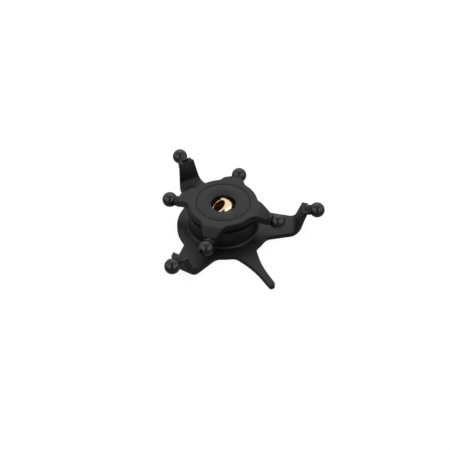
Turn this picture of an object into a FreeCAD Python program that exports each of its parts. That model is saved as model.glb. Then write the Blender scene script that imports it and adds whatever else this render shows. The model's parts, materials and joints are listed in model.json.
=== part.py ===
import FreeCAD, Part
import os

import Sketcher

# Helicopter swashplate with a 4 mm mast ball: a stationary lower plate on three servo arms,
# a rotating upper plate with four link arms, a thin ball bearing between them, and a brass
# ball that tilts inside the upper plate and slides on the mast.
# Frame: origin at the centre of the mast ball, +Z up the mast, +Y along the fore servo arm.
# All lengths are millimetres and all angles degrees.

SIZES = [
    # mast ball and its seat
    ("mast_dia", 4.0, "rotor mast that slides in the ball"),
    ("mast_clearance", 0.02, "radial clearance of the mast in its bore"),
    ("uniball_dia", 7.2, "brass ball"),
    ("uniball_width", 4.5, "ball across its flat ends"),
    ("uniball_chamfer", 0.12, "edge break of the mast bore"),
    ("uniball_lean", 34.0, "how far the loose ball lies over at rest"),
    ("uniball_heading", 154.0, "compass direction in which it lies over, from +X"),
    ("seat_clearance", 0.04, "radial clearance of the ball in its seat"),
    ("seat_wall", 1.16, "seat wall at the ball's equator"),
    ("seat_half_height", 1.6, "each seat half, from the ball's centre"),
    ("seat_parting", 0.1, "gap between the two seat halves"),
    ("seat_fit", 0.02, "running clearance of the seat halves in their pocket"),
    # upper plate
    ("plate_dia", 19.9, "upper disc"),
    ("plate_top", 3.25, "top face above the ball's centre"),
    ("plate_thickness", 2.3, "upper disc"),
    ("plate_edge_round", 0.25, "rounding of the disc's and arms' edges"),
    ("sleeve_wall", 1.18, "wall between seat pocket and bearing bore"),
    ("sleeve_tail", 1.5, "sleeve below the bearing"),
    ("hub_ledge", 0.7, "radial ledge that spaces the disc off the bearing"),
    ("seat_shoulder", 1.0, "thickness of the ledge under the seat"),
    ("mast_hole_dia", 7.2, "hole through the cap and the ledge"),
    ("cap_border", 2.15, "disc left outside the inlaid cap"),
    ("cap_thickness", 1.2, "inlaid cap"),
    ("cap_joint", 0.03, "radial gap of the cap's joint line"),
    ("joint_chamfer", 0.33, "edge break on both sides of the joint line, radial"),
    ("joint_chamfer_drop", 0.13, "drop of that edge break"),
    ("dish_width", 1.9, "sloping lip around the cap's hole, measured radially"),
    ("dish_depth", 0.5, "drop of that lip"),
    # link arms of the upper plate
    ("link_radius", 16.3, "mast axis to link ball centre"),
    ("link_rest_angle", 44.0, "turn of the upper plate at rest"),
    ("link_arm_root_width", 7.5, "arm where it leaves the disc"),
    ("link_arm_end_width", 3.3, "square end of the arm, at the neck"),
    ("link_arm_end_under", 0.7, "arm's underside at the neck, below the neck's axis"),
    ("link_neck_dia", 3.0, "round neck that carries the ball"),
    ("link_neck_reach", 2.8, "start of the neck to ball centre"),
    ("link_arm_shoulder", 0.7, "flat of the arm outside the disc"),
    ("under_margin", 0.5, "room between the bearing cup and the arm's underside"),
    ("link_root_round", 2.5, "inside corner between arm and disc"),
    # ball studs
    ("stud_ball_dia", 4.4, "ball that the link snaps on to"),
    ("stud_standoff", 1.75, "ball centre to the collar's end face"),
    ("stud_shank_dia", 1.5, "shank pressed into the collar"),
    ("stud_shank_length", 2.0, "shank"),
    # ball bearing between the plates
    ("bearing_section", 3.0, "radial height of the bearing"),
    ("bearing_width", 4.0, "bearing"),
    ("race_thickness", 0.9, "each race at its land"),
    ("bearing_ball_dia", 1.588, "rolling ball"),
    ("bearing_ball_count", 14, "rolling balls"),
    ("groove_clearance", 0.04, "ball to groove, radial"),
    ("cage_wall", 0.7, "cage ring, radial"),
    ("cage_band", 0.4, "closed side of the cage beyond the balls"),
    ("cage_lip", 0.45, "open side of the cage, from the ball centres"),
    ("cage_clearance", 0.06, "ball to cage pocket, radial"),
    ("shield_thickness", 0.2, "bearing shield"),
    ("shield_recess", 0.15, "shield below the bearing's face"),
    ("shield_rebate", 0.3, "shield's seat in the outer race, radial"),
    ("shield_gap", 0.1, "shield to inner race, radial"),
    # lower plate
    ("rim_gap", 0.7, "upper disc to cup lip"),
    ("cup_wall", 1.2, "wall outside the bearing"),
    ("cup_height", 7.0, "lip to the underside of the flange"),
    ("cup_shoulder", 0.85, "radial ledge under the outer race"),
    ("cup_root_round", 0.6, "inside corner between cup and flange"),
    ("bearing_recess", 0.6, "lip to the bearing's upper face"),
    ("flange_dia", 27.0, "round flange"),
    ("flange_thickness", 1.5, "flange, servo arms and finger"),
    # servo arms of the lower plate
    ("servo_radius", 27.1, "mast axis to servo ball centre"),
    ("servo_ball_rise", 0.6, "servo balls above the mast ball's centre"),
    ("servo_arm_root_width", 10.6, "arm where it leaves the flange"),
    ("servo_arm_bend_width", 6.9, "arm at the bend"),
    ("servo_tab_top_width", 4.2, "upturned tab at its top"),
    ("servo_tab_lean", 17.0, "tab's lean outwards from upright"),
    ("servo_tab_rise", 0.75, "tab's top above the servo ball's centre"),
    ("servo_bend_radius", 2.0, "inside radius of the bend"),
    ("servo_neck_dia", 2.96, "collar that carries the ball"),
    ("servo_neck_length", 1.12, "collar outside the tab"),
    ("servo_root_round", 3.0, "inside corner between arm and flange"),
    # anti-rotation finger
    ("finger_reach", 28.4, "mast axis to the finger's tip"),
    ("finger_tip_width", 1.7, "finger at its tip"),
    ("finger_waist_width", 2.2, "finger where its flare ends"),
    ("finger_waist_radius", 20.0, "mast axis to the end of the flare"),
    ("finger_root_width", 6.6, "finger where it leaves the flange"),
    ("finger_flare_round", 28.0, "curve between the flare and the straight"),
    ("finger_root_round", 3.0, "inside corner between finger and flange"),
    # retaining rings
    ("clip_thickness", 0.4, "both retaining rings"),
    ("clip_groove_depth", 0.35, "ring's seat in cup or sleeve, radial"),
    ("clip_width", 0.85, "ring, radial"),
    ("clip_gap_angle", 34.0, "opening of the rings"),
    ("clip_lug_dia", 1.3, "eye at each end of a ring"),
    ("clip_eye_dia", 0.6, "hole in each eye"),
    # cutting tools
    ("cutter_overrun", 1.0, "how far a cut runs past the solid that it opens"),
]

# Sizes that several pieces share, written once in terms of the sheet.
BALL_R = "(sizes.uniball_dia / 2)"
SEAT_IN_R = f"({BALL_R} + sizes.seat_clearance)"
SEAT_OUT_R = f"({SEAT_IN_R} + sizes.seat_wall)"
POCKET_R = f"({SEAT_OUT_R} + sizes.seat_fit)"
SLEEVE_R = f"({POCKET_R} + sizes.sleeve_wall)"
HUB_R = f"({SLEEVE_R} + sizes.hub_ledge)"
DISC_R = "(sizes.plate_dia / 2)"
CAP_R = f"({DISC_R} - sizes.cap_border)"
MAST_HOLE_R = "(sizes.mast_hole_dia / 2)"
CAP_Z = "(sizes.plate_top - sizes.cap_thickness)"
DISC_Z = "(sizes.plate_top - sizes.plate_thickness)"
SEAT_TOP_Z = "(sizes.seat_half_height + sizes.seat_fit)"

INNER_LAND_R = f"({SLEEVE_R} + sizes.race_thickness)"
OUTER_R = f"({SLEEVE_R} + sizes.bearing_section)"
OUTER_LAND_R = f"({OUTER_R} - sizes.race_thickness)"
PITCH_R = f"({SLEEVE_R} + sizes.bearing_section / 2)"
GROOVE_R = "(sizes.bearing_ball_dia / 2 + sizes.groove_clearance)"
LIP_Z = f"({DISC_Z} - sizes.rim_gap)"
BEARING_TOP_Z = f"({LIP_Z} - sizes.bearing_recess)"
BEARING_LOW_Z = f"({BEARING_TOP_Z} - sizes.bearing_width)"
BEARING_MID_Z = f"({BEARING_TOP_Z} - sizes.bearing_width / 2)"
REBATE_R = f"({OUTER_LAND_R} + sizes.shield_rebate)"
SHIELD_R = f"({INNER_LAND_R} + sizes.shield_gap)"
SHIELD_OUT = "(sizes.bearing_width / 2 - sizes.shield_recess)"
SHIELD_IN = f"({SHIELD_OUT} - sizes.shield_thickness)"

CUP_R = f"({OUTER_R} + sizes.cup_wall)"
FLOOR_R = f"({OUTER_R} - sizes.cup_shoulder)"
UNDER_Z = f"({LIP_Z} - sizes.cup_height)"
FLANGE_Z = f"({UNDER_Z} + sizes.flange_thickness)"
FLANGE_R = "(sizes.flange_dia / 2)"
TAIL_Z = f"({BEARING_LOW_Z} - sizes.sleeve_tail)"

NECK_S = "(sizes.link_radius - sizes.link_neck_reach)"
STUD_R = "(sizes.stud_ball_dia / 2)"
SHANK_R = "(sizes.stud_shank_dia / 2)"
LINK_COLLAR_S = "(sizes.link_radius - sizes.stud_standoff)"
SERVO_COLLAR_S = "(sizes.servo_radius - sizes.stud_standoff)"
SERVO_FACE_S = f"({SERVO_COLLAR_S} - sizes.servo_neck_length)"
TAB_TOP_Z = "(sizes.servo_ball_rise + sizes.servo_tab_rise)"
CAGE_LOW_Z = f"({BEARING_MID_Z} - sizes.cage_lip)"
CAGE_TOP_Z = f"({BEARING_MID_Z} + sizes.bearing_ball_dia / 2 + sizes.cage_band)"

doc = FreeCAD.newDocument("swashplate")
sheet = doc.addObject("Spreadsheet::Sheet", "sizes")
for row, (alias, size, meaning) in enumerate(SIZES, start=1):
    sheet.set(f"A{row}", meaning)
    sheet.set(f"B{row}", str(size))
    sheet.setAlias(f"B{row}", alias)
doc.recompute()


# ---------------------------------------------------------------- sketch and feature helpers

def value(expression):
    """Present value of an expression in the sheet's aliases."""
    return float(doc.getObject("sizes").evalExpression(str(expression).replace("sizes.", "")))


def origin_item(body, role):
    """Origin plane or axis of a body, found by its role."""
    for item in body.Origin.OriginFeatures:
        if item.Role == role:
            return item
    raise RuntimeError(f"{body.Label} has no {role}")


def new_body(label):
    body = doc.addObject("PartDesign::Body", label)
    body.Label = label
    body.AllowCompound = True
    return body


def new_sketch(body, name, plane, rise=None):
    """Sketch on an origin plane of its own body, lifted along Z by the expression rise."""
    sketch = body.newObject("Sketcher::SketchObject", name)
    sketch.AttachmentSupport = [(origin_item(body, plane), "")]
    sketch.MapMode = "FlatFace"
    if rise is not None:
        axis = "z" if plane == "XY_Plane" else "y"
        sketch.setExpression(f"AttachmentOffset.Base.{axis}", rise)
    return sketch


def pin(sketch, kind, name, size, *where):
    """Driving constraint whose size is an expression in the sheet's aliases."""
    index = sketch.addConstraint(Sketcher.Constraint(kind, *where, value(size)))
    sketch.renameConstraint(index, name)
    sketch.setExpression(f"Constraints.{name}", str(size))


def pin_point(sketch, name, geometry, position, x, y):
    pin(sketch, "DistanceX", f"{name}_x", x, -1, 1, geometry, position)
    pin(sketch, "DistanceY", f"{name}_y", y, -1, 1, geometry, position)


def draw_outline(sketch, corners):
    """Closed straight-sided outline through corners (x, y), each an expression."""
    spots = [FreeCAD.Vector(value(x), value(y), 0) for x, y in corners]
    lines = [sketch.addGeometry(Part.LineSegment(spot, spots[(i + 1) % len(spots)]))
             for i, spot in enumerate(spots)]
    for i, (x, y) in enumerate(corners):
        sketch.addConstraint(Sketcher.Constraint("Coincident", lines[i - 1], 2, lines[i], 1))
        pin_point(sketch, f"corner{i}", lines[i], 1, x, y)


def draw_circle(sketch, name, x, y, radius):
    spot = FreeCAD.Vector(value(x), value(y), 0)
    circle = sketch.addGeometry(Part.Circle(spot, FreeCAD.Vector(0, 0, 1), value(radius)))
    pin_point(sketch, name, circle, 3, x, y)
    pin(sketch, "Radius", f"{name}_radius", radius, circle)


def spin(body, kind, name, sketch, axis="V_Axis"):
    """Revolution or Groove all the way round an axis of its sketch."""
    feature = body.newObject(f"PartDesign::{kind}", name)
    feature.Profile = sketch
    feature.ReferenceAxis = (sketch, [axis])
    feature.Angle = 360
    sketch.Visibility = False
    return feature


def pad(body, name, sketch, length, symmetric=False, reverse=False):
    feature = body.newObject("PartDesign::Pad", name)
    feature.Profile = sketch
    feature.SideType = "Symmetric" if symmetric else "One side"
    feature.Reversed = reverse
    feature.setExpression("Length", length)
    sketch.Visibility = False
    return feature


def pocket(body, name, sketch, length, symmetric=False, reverse=False):
    feature = body.newObject("PartDesign::Pocket", name)
    feature.Profile = sketch
    feature.SideType = "Symmetric" if symmetric else "One side"
    feature.Reversed = reverse
    feature.setExpression("Length", length)
    sketch.Visibility = False
    return feature


def around(body, name, features, count):
    """Full-circle pattern of features about the body's Z axis."""
    pattern = body.newObject("PartDesign::PolarPattern", name)
    pattern.Originals = features
    pattern.Axis = (origin_item(body, "Z_Axis"), [""])
    pattern.Angle = 360
    pattern.setExpression("Occurrences", str(count))
    body.Tip = pattern
    doc.recompute()
    return pattern


def edges_where(shape, wanted):
    """Names of the edges for which wanted(edge) holds."""
    return [f"Edge{i}" for i, edge in enumerate(shape.Edges, start=1) if wanted(edge)]


def round_edges(body, name, base, wanted, radius):
    doc.recompute()
    names = edges_where(base.Shape, wanted)
    if not names:
        raise RuntimeError(f"{body.Label}: {name} found no edge")
    feature = body.newObject("PartDesign::Fillet", name)
    feature.Base = (base, names)
    feature.setExpression("Radius", radius)
    body.Tip = feature
    doc.recompute()
    return feature


def edge_radius(edge):
    """Distance of an edge's middle from the Z axis."""
    middle = edge.CenterOfMass
    return (middle.x ** 2 + middle.y ** 2) ** 0.5


def is_upright(edge, radius):
    """A straight edge that runs along Z at the given radius."""
    if not isinstance(edge.Curve, Part.Line) or abs(edge.Curve.Direction.z) < 1 - 1e-6:
        return False
    return abs(edge_radius(edge) - radius) < 0.01


def is_crosswise(edge, radius, z):
    """A straight level edge square to its own radius, at the given radius and height."""
    if not isinstance(edge.Curve, Part.Line) or abs(edge.Curve.Direction.z) > 1e-6:
        return False
    middle = edge.CenterOfMass
    along = middle.x * edge.Curve.Direction.x + middle.y * edge.Curve.Direction.y
    return abs(along) < 0.01 and abs(edge_radius(edge) - radius) < 0.01 and abs(middle.z - z) < 0.01


def is_ring(edge, radius, z):
    """Part of a circle about the Z axis, at a given radius and height."""
    if not isinstance(edge.Curve, Part.Circle):
        return False
    centre = edge.Curve.Center
    on_axis = abs(centre.x) < 1e-4 and abs(centre.y) < 1e-4
    return on_axis and abs(edge.Curve.Radius - radius) < 1e-4 and abs(centre.z - z) < 1e-4


def ring_body(label, corners):
    """Body turned from one closed outline of (radius, height) corners."""
    body = new_body(label)
    sketch = new_sketch(body, f"{label}_section", "XZ_Plane")
    draw_outline(sketch, corners)
    spin(body, "Revolution", f"{label}_turned", sketch)
    return body


def box_corners(r_in, r_out, z_low, z_high):
    return [(r_in, z_low), (r_out, z_low), (r_out, z_high), (r_in, z_high)]


# ---------------------------------------------------------------- upper (rotating) plate

def link_arm(body):
    """One tapering arm along +X, with the round boss that runs out below it into the neck."""
    under_s = f"({CUP_R} + sizes.under_margin)"
    neck_r = "(sizes.link_neck_dia / 2)"
    end_half = "(sizes.link_arm_end_width / 2)"
    root_half = "(sizes.link_arm_root_width / 2)"
    side = new_sketch(body, "link_arm_side", "XZ_Plane")
    draw_outline(side, [
        ("0", DISC_Z),
        (under_s, DISC_Z),
        (NECK_S, "-sizes.link_arm_end_under"),
        (NECK_S, end_half),
        (f"{DISC_R} + sizes.link_arm_shoulder", "sizes.plate_top"),
        ("0", "sizes.plate_top"),
    ])
    bar = pad(body, "link_arm_bar", side, "sizes.link_arm_root_width", symmetric=True)
    root_s = f"sqrt({DISC_R}^2 - {root_half}^2)"
    trims = []
    for hand, sign in (("left", "1"), ("right", "-1")):
        plan = new_sketch(body, f"link_arm_{hand}", "XY_Plane", rise="sizes.plate_top")
        draw_outline(plan, [
            (root_s, f"{sign} * {root_half}"),
            (NECK_S, f"{sign} * {end_half}"),
            (f"{NECK_S} + sizes.cutter_overrun", f"{sign} * {end_half}"),
            (f"{NECK_S} + sizes.cutter_overrun", f"{sign} * ({root_half} + sizes.cutter_overrun)"),
            (root_s, f"{sign} * ({root_half} + sizes.cutter_overrun)"),
        ])
        depth = "sizes.plate_top + sizes.link_arm_end_width"
        trims.append(pocket(body, f"link_arm_{hand}_trim", plan, depth))
    collar = new_sketch(body, "link_collar_section", "XZ_Plane")
    draw_outline(collar, box_corners(under_s, LINK_COLLAR_S, "0", neck_r))
    neck = spin(body, "Revolution", "link_collar", collar, "H_Axis")
    return [bar, *trims, neck]


def stud_hole(body, collar_s, rise=None):
    """Blind hole for one stud's shank, drilled along the arm from the collar's end face."""
    section = new_sketch(body, "stud_hole_section", "XZ_Plane", rise)
    draw_outline(section, box_corners(f"{collar_s} - sizes.stud_shank_length", collar_s, "0", SHANK_R))
    return spin(body, "Groove", "stud_hole", section, "H_Axis")


def make_upper_plate():
    body = new_body("upper_plate")
    arm = link_arm(body)
    around(body, "link_arms", arm, 4)

    disc = new_sketch(body, "disc_section", "XZ_Plane")
    draw_outline(disc, [
        ("0", TAIL_Z),
        (SLEEVE_R, TAIL_Z),
        (SLEEVE_R, BEARING_TOP_Z),
        (HUB_R, BEARING_TOP_Z),
        (HUB_R, DISC_Z),
        (DISC_R, DISC_Z),
        (DISC_R, "sizes.plate_top"),
        ("0", "sizes.plate_top"),
    ])
    spin(body, "Revolution", "disc_and_sleeve", disc)

    bore = new_sketch(body, "bore_section", "XZ_Plane")
    draw_outline(bore, [
        ("0", f"{TAIL_Z} - sizes.cutter_overrun"),
        (POCKET_R, f"{TAIL_Z} - sizes.cutter_overrun"),
        (POCKET_R, "-sizes.seat_half_height - sizes.seat_shoulder"),
        (MAST_HOLE_R, "-sizes.seat_half_height - sizes.seat_shoulder"),
        (MAST_HOLE_R, f"-{SEAT_TOP_Z}"),
        (POCKET_R, f"-{SEAT_TOP_Z}"),
        (POCKET_R, CAP_Z),
        (f"{CAP_R} + sizes.cap_joint", CAP_Z),
        (f"{CAP_R} + sizes.cap_joint", "sizes.plate_top - sizes.joint_chamfer_drop"),
        (f"{CAP_R} + sizes.cap_joint + sizes.joint_chamfer", "sizes.plate_top"),
        (f"{CAP_R} + sizes.cap_joint + sizes.joint_chamfer", "sizes.plate_top + sizes.cutter_overrun"),
        ("0", "sizes.plate_top + sizes.cutter_overrun"),
    ])
    spin(body, "Groove", "stepped_bore", bore)

    clip = new_sketch(body, "clip_groove_section", "XZ_Plane")
    draw_outline(clip, box_corners(
        f"{SLEEVE_R} - sizes.clip_groove_depth", f"{SLEEVE_R} + sizes.cutter_overrun",
        f"{BEARING_LOW_Z} - sizes.clip_thickness", BEARING_LOW_Z))
    spin(body, "Groove", "clip_groove", clip)

    hole = stud_hole(body, LINK_COLLAR_S)
    holes = around(body, "stud_holes", [hole], 4)

    rounded = round_edges(body, "arm_roots", holes, lambda e: is_upright(e, value(DISC_R)),
                          "sizes.link_root_round")
    neck_s = value(NECK_S)

    def is_arm_edge(edge):
        """Long sloping edge of an arm's upper side."""
        box = edge.BoundBox
        sloping = box.ZMax - box.ZMin > 0.5 and box.ZMin > 0 and isinstance(edge.Curve, Part.Line)
        reach = max((v.X ** 2 + v.Y ** 2) ** 0.5 for v in edge.Vertexes)
        return sloping and abs(edge.Curve.Direction.z) < 0.9 and reach > neck_s

    top = value("sizes.plate_top")
    inside = value(f"{CAP_R} + sizes.cap_joint + sizes.joint_chamfer") + 0.1

    def is_top_rim(edge):
        """Outline of the disc and its arms at the top face, without the arms' cross creases."""
        box = edge.BoundBox
        level = abs(box.ZMin - top) < 0.001 and abs(box.ZMax - top) < 0.001
        return level and edge_radius(edge) > inside and not is_crosswise(edge, edge_radius(edge), top)

    round_edges(body, "edge_rounds", rounded, lambda e: is_arm_edge(e) or is_top_rim(e),
                "sizes.plate_edge_round")
    body.setExpression("Placement", "placement(vector(0; 0; 0); "
                       "rotation(vector(0; 0; 1); sizes.link_rest_angle))")
    return body


def make_seat_cap():
    return ring_body("seat_cap", [
        (MAST_HOLE_R, SEAT_TOP_Z),
        (f"{POCKET_R} - sizes.cap_joint", SEAT_TOP_Z),
        (f"{POCKET_R} - sizes.cap_joint", CAP_Z),
        (CAP_R, CAP_Z),
        (CAP_R, "sizes.plate_top - sizes.joint_chamfer_drop"),
        (f"{CAP_R} - sizes.joint_chamfer", "sizes.plate_top"),
        (f"{MAST_HOLE_R} + sizes.dish_width", "sizes.plate_top"),
        (MAST_HOLE_R, "sizes.plate_top - sizes.dish_depth"),
    ])


def cut_node(label, base, tool):
    cut = doc.addObject("Part::Cut", label)
    cut.Label = label
    cut.Base = base
    cut.Tool = tool
    return cut


def make_seat_half(label, sign):
    """One half of the spherical seat: a plain ring bored out by the ball's sphere."""
    ring = doc.addObject("Part::Cylinder", f"{label}_ring")
    ring.setExpression("Radius", SEAT_OUT_R)
    ring.setExpression("Height", "sizes.seat_half_height - sizes.seat_parting / 2")
    base_z = "sizes.seat_parting / 2" if sign > 0 else "-sizes.seat_half_height"
    ring.setExpression("Placement.Base.z", base_z)
    sphere = doc.addObject("Part::Sphere", f"{label}_sphere")
    sphere.setExpression("Radius", SEAT_IN_R)
    return cut_node(label, ring, sphere)


def make_uniball():
    """Ball with flat ends and the mast bore, lying over in its seat."""
    ball = doc.addObject("Part::Sphere", "uniball_ball")
    ball.setExpression("Radius", BALL_R)
    ball.setExpression("Angle1", f"-asin(sizes.uniball_width / 2 / {BALL_R})")
    ball.setExpression("Angle2", f"asin(sizes.uniball_width / 2 / {BALL_R})")
    bore = doc.addObject("Part::Cylinder", "uniball_bore")
    bore.setExpression("Radius", "sizes.mast_dia / 2 + sizes.mast_clearance")
    bore.setExpression("Height", "sizes.uniball_width + 2 * sizes.cutter_overrun")
    bore.setExpression("Placement.Base.z", "-sizes.uniball_width / 2 - sizes.cutter_overrun")
    bored = cut_node("uniball_bored", ball, bore)
    doc.recompute()
    bore_r = value("sizes.mast_dia / 2 + sizes.mast_clearance")
    half = value("sizes.uniball_width / 2")
    chamfer = value("sizes.uniball_chamfer")
    rims = [i for i, e in enumerate(bored.Shape.Edges, start=1)
            if is_ring(e, bore_r, half) or is_ring(e, bore_r, -half)]
    broken = doc.addObject("Part::Chamfer", "uniball")
    broken.Label = "uniball"
    broken.Base = bored
    broken.Edges = [(i, chamfer, chamfer) for i in rims]
    heading = "sizes.uniball_heading"
    broken.setExpression("Placement", "placement(vector(0; 0; 0); rotation(vector("
                         f"-sin({heading}); cos({heading}); 0); sizes.uniball_lean))")
    return broken


# ---------------------------------------------------------------- lower (stationary) plate

TAB_SLANT = "(sizes.flange_thickness / cos(sizes.servo_tab_lean))"


def tab_face(z):
    """Radial position of the tab's outer face at height z."""
    return f"({SERVO_FACE_S} + ({z} - sizes.servo_ball_rise) * tan(sizes.servo_tab_lean))"


def servo_arm(body):
    """One arm along +X, bent up into a leaning tab with a collar on its outside."""
    root_half = "(sizes.servo_arm_root_width / 2)"
    side = new_sketch(body, "servo_arm_side", "XZ_Plane")
    draw_outline(side, [
        ("0", UNDER_Z),
        (tab_face(UNDER_Z), UNDER_Z),
        (tab_face(TAB_TOP_Z), TAB_TOP_Z),
        (f"{tab_face(TAB_TOP_Z)} - {TAB_SLANT}", TAB_TOP_Z),
        (f"{tab_face(FLANGE_Z)} - {TAB_SLANT}", FLANGE_Z),
        ("0", FLANGE_Z),
    ])
    bar = pad(body, "servo_arm_bar", side, "sizes.servo_arm_root_width", symmetric=True)
    root_s = f"sqrt({FLANGE_R}^2 - {root_half}^2)"
    bend_s = f"({tab_face(FLANGE_Z)} - {TAB_SLANT})"
    end_s = f"({tab_face(TAB_TOP_Z)} - {TAB_SLANT} / 2)"
    far_s = f"({tab_face(TAB_TOP_Z)} + sizes.cutter_overrun)"
    trims = []
    for hand, sign in (("left", "1"), ("right", "-1")):
        plan = new_sketch(body, f"servo_arm_{hand}", "XY_Plane", rise=f"{TAB_TOP_Z} + sizes.cutter_overrun")
        tip_half = "(sizes.servo_tab_top_width / 2)"
        draw_outline(plan, [
            (root_s, f"{sign} * {root_half}"),
            (bend_s, f"{sign} * sizes.servo_arm_bend_width / 2"),
            (end_s, f"{sign} * {tip_half}"),
            (far_s, f"{sign} * {tip_half}"),
            (far_s, f"{sign} * ({root_half} + sizes.cutter_overrun)"),
            (root_s, f"{sign} * ({root_half} + sizes.cutter_overrun)"),
        ])
        depth = f"{TAB_TOP_Z} - {UNDER_Z} + 2 * sizes.cutter_overrun"
        trims.append(pocket(body, f"servo_arm_{hand}_trim", plan, depth))
    collar = new_sketch(body, "servo_collar_section", "XZ_Plane", rise="sizes.servo_ball_rise")
    draw_outline(collar, box_corners(
        f"{SERVO_FACE_S} - {TAB_SLANT} / 2", SERVO_COLLAR_S, "0", "sizes.servo_neck_dia / 2"))
    neck = spin(body, "Revolution", "servo_collar", collar, "H_Axis")
    return [bar, *trims, neck]


def finger(body):
    """Flat tapering finger along -X that runs in the anti-rotation guide."""
    root_half = "(sizes.finger_root_width / 2)"
    waist_half = "(sizes.finger_waist_width / 2)"
    tip_half = "(sizes.finger_tip_width / 2)"
    root_s = f"sqrt({FLANGE_R}^2 - {root_half}^2)"
    plan = new_sketch(body, "finger_plan", "XY_Plane", rise=UNDER_Z)
    draw_outline(plan, [
        (f"-{root_s} + 3", root_half),
        (f"-{root_s}", root_half),
        ("-sizes.finger_waist_radius", waist_half),
        ("-sizes.finger_reach", tip_half),
        ("-sizes.finger_reach", f"-{tip_half}"),
        ("-sizes.finger_waist_radius", f"-{waist_half}"),
        (f"-{root_s}", f"-{root_half}"),
        (f"-{root_s} + 3", f"-{root_half}"),
    ])
    return pad(body, "finger_bar", plan, "sizes.flange_thickness")


def make_lower_plate():
    body = new_body("lower_plate")
    arm = servo_arm(body)
    around(body, "servo_arms", arm, 3)

    hub = new_sketch(body, "cup_section", "XZ_Plane")
    draw_outline(hub, [
        ("0", UNDER_Z),
        (FLANGE_R, UNDER_Z),
        (FLANGE_R, FLANGE_Z),
        (CUP_R, FLANGE_Z),
        (CUP_R, LIP_Z),
        ("0", LIP_Z),
    ])
    spin(body, "Revolution", "cup_and_flange", hub)
    finger(body)

    bore = new_sketch(body, "cup_bore_section", "XZ_Plane")
    groove_r = f"({OUTER_R} + sizes.clip_groove_depth)"
    clip_top = f"({BEARING_TOP_Z} + sizes.clip_thickness)"
    draw_outline(bore, [
        ("0", f"{UNDER_Z} - sizes.cutter_overrun"),
        (FLOOR_R, f"{UNDER_Z} - sizes.cutter_overrun"),
        (FLOOR_R, BEARING_LOW_Z),
        (OUTER_R, BEARING_LOW_Z),
        (OUTER_R, BEARING_TOP_Z),
        (groove_r, BEARING_TOP_Z),
        (groove_r, clip_top),
        (OUTER_R, clip_top),
        (OUTER_R, f"{LIP_Z} + sizes.cutter_overrun"),
        ("0", f"{LIP_Z} + sizes.cutter_overrun"),
    ])
    spin(body, "Groove", "cup_bore", bore)
    hole = stud_hole(body, SERVO_COLLAR_S, rise="sizes.servo_ball_rise")
    holes = around(body, "stud_holes", [hole], 3)

    inner_bend = (value(f"{tab_face(FLANGE_Z)} - {TAB_SLANT}"), value(FLANGE_Z))
    outer_bend = (value(tab_face(UNDER_Z)), value(UNDER_Z))
    rounded = round_edges(body, "inner_bends", holes, lambda e: is_crosswise(e, *inner_bend),
                          "sizes.servo_bend_radius")
    rounded = round_edges(body, "outer_bends", rounded, lambda e: is_crosswise(e, *outer_bend),
                          "sizes.servo_bend_radius + sizes.flange_thickness")
    rounded = round_edges(body, "cup_root", rounded, lambda e: is_ring(e, value(CUP_R), value(FLANGE_Z)),
                          "sizes.cup_root_round")
    finger_half = value("sizes.finger_root_width / 2")
    flange_r = value(FLANGE_R)
    waist_r = value("sqrt(sizes.finger_waist_radius^2 + (sizes.finger_waist_width / 2)^2)")
    tip_r = value("sqrt(sizes.finger_reach^2 + (sizes.finger_tip_width / 2)^2)")
    rounded = round_edges(body, "finger_tip", rounded, lambda e: is_upright(e, tip_r),
                          "sizes.finger_tip_width * 0.4")
    rounded = round_edges(body, "finger_flare", rounded, lambda e: is_upright(e, waist_r),
                          "sizes.finger_flare_round")

    def at_finger(edge):
        return edge.CenterOfMass.x < 0 and abs(abs(edge.CenterOfMass.y) - finger_half) < 0.01

    rounded = round_edges(body, "finger_root", rounded, lambda e: is_upright(e, flange_r) and at_finger(e),
                          "sizes.finger_root_round")
    rounded = round_edges(body, "arm_roots", rounded, lambda e: is_upright(e, flange_r),
                          "sizes.servo_root_round")
    body.setExpression("Placement", "placement(vector(0; 0; 0); rotation(vector(0; 0; 1); 90))")
    return body


# ---------------------------------------------------------------- ball studs

def make_stud(label, radius, height, angle):
    """Link ball with the shank behind it, standing out radially at the given angle.

    The ball is cut flat where it seats against the collar.
    """
    body = new_body(label)
    section = new_sketch(body, f"{label}_section", "XZ_Plane")
    back = "(-sizes.stud_standoff)"
    draw_outline(section, box_corners(f"{back} - sizes.stud_shank_length", "0", "0", SHANK_R))
    spin(body, "Revolution", f"{label}_shank", section, "H_Axis")
    ball = body.newObject("PartDesign::AdditiveSphere", f"{label}_ball")
    ball.setExpression("Radius", STUD_R)
    flat = new_sketch(body, f"{label}_flat", "XZ_Plane")
    outside = f"({STUD_R} + sizes.cutter_overrun)"
    draw_outline(flat, box_corners(f"-{outside}", back, SHANK_R, outside))
    spin(body, "Groove", f"{label}_seat", flat, "H_Axis")
    body.setExpression("Placement", f"placement(vector({radius} * cos({angle}); {radius} * sin({angle}); "
                       f"{height}); rotation(vector(0; 0; 1); {angle}))")
    return body


# ---------------------------------------------------------------- ball bearing

def groove_cut(body, label):
    """Raceway for the balls, cut as a ring of circular section."""
    section = new_sketch(body, f"{label}_groove_section", "XZ_Plane")
    draw_circle(section, "raceway", PITCH_R, BEARING_MID_Z, GROOVE_R)
    spin(body, "Groove", f"{label}_groove", section)


def make_inner_race():
    body = ring_body("bearing_inner_race", box_corners(SLEEVE_R, INNER_LAND_R, BEARING_LOW_Z, BEARING_TOP_Z))
    groove_cut(body, "inner")
    return body


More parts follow.
